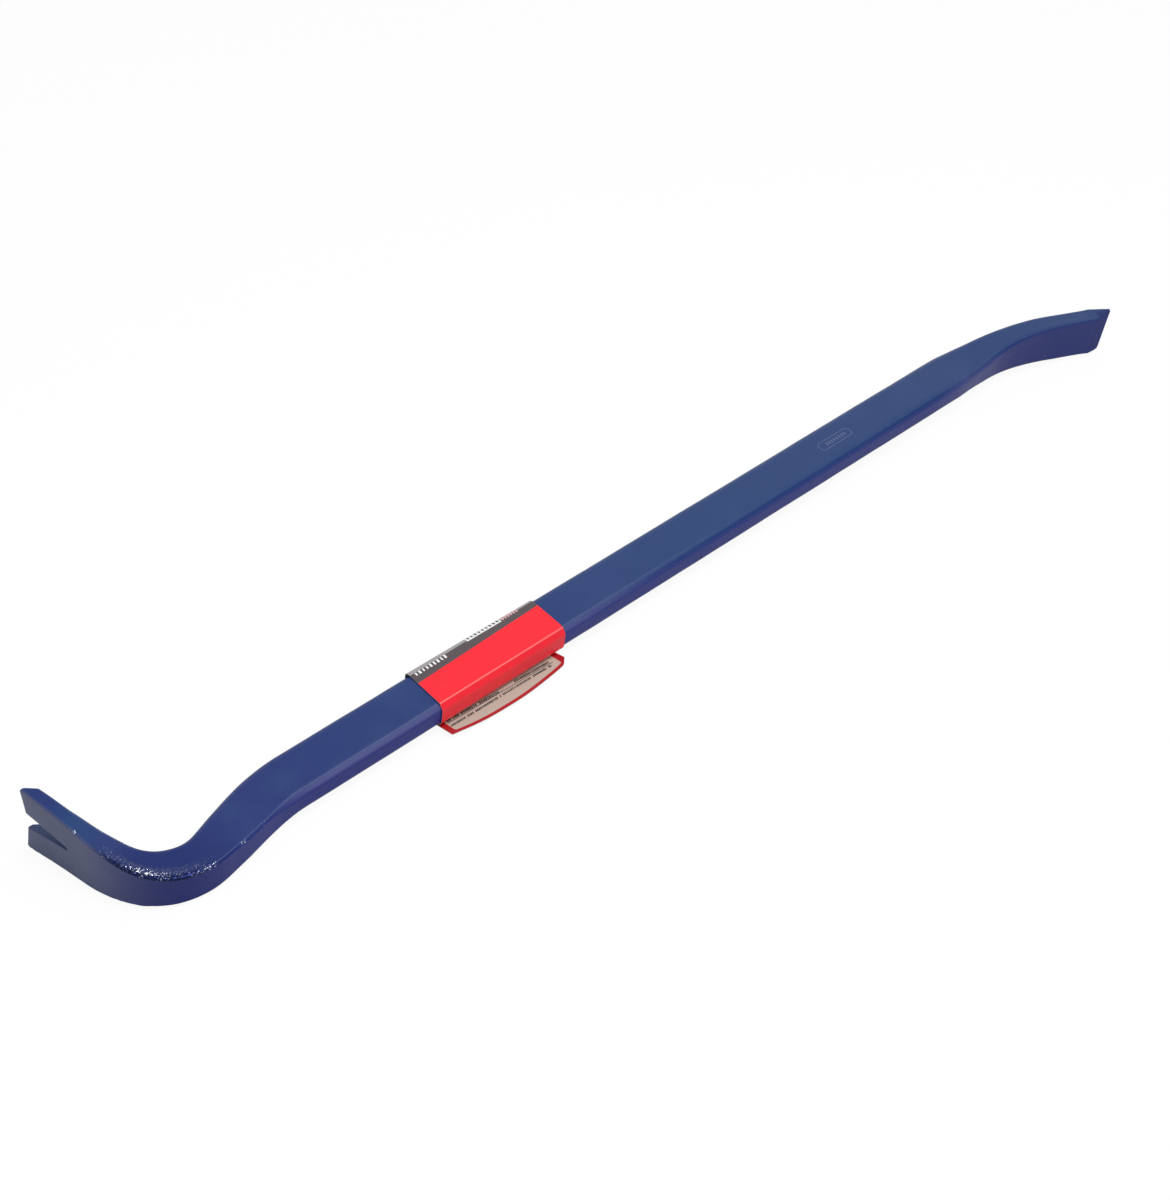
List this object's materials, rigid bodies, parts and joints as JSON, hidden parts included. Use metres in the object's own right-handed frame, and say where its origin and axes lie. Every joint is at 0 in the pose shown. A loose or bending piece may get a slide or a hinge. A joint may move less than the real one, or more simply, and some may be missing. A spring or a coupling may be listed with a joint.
{
  "type": "gooseneck pry bar",
  "caption": "Forged gooseneck pry bar with a slotted nail claw at one end, a bent chisel at the other and a loose card sleeve on its flat shank.",
  "frame": {"origin": "middle of the bar's own footprint, at its lowest point, the side of the claw", "axes": "+X along the shank from the claw to the chisel, +Y the way the claw points, +Z square to the plane of the bends"},
  "size_m": [0.8002, 0.1004, 0.0491],
  "materials": {
    "blue_enamel": "semi-gloss enamel over a forged surface",
    "printed_card": "printed, satin coated",
    "dried_glue": "dried adhesive"
  },
  "bodies": {
    "bar": {"forged_bar": "blue_enamel"},
    "sleeve": {"label_sleeve": "printed_card", "adhesive_strip": "dried_glue"}
  },
  "joints": [
    {"name": "sleeve_slide", "type": "slide", "parent": "bar", "child": "sleeve", "axis": [1, 0, 0], "range_m": [-0.085, 0.355]}
  ]
}
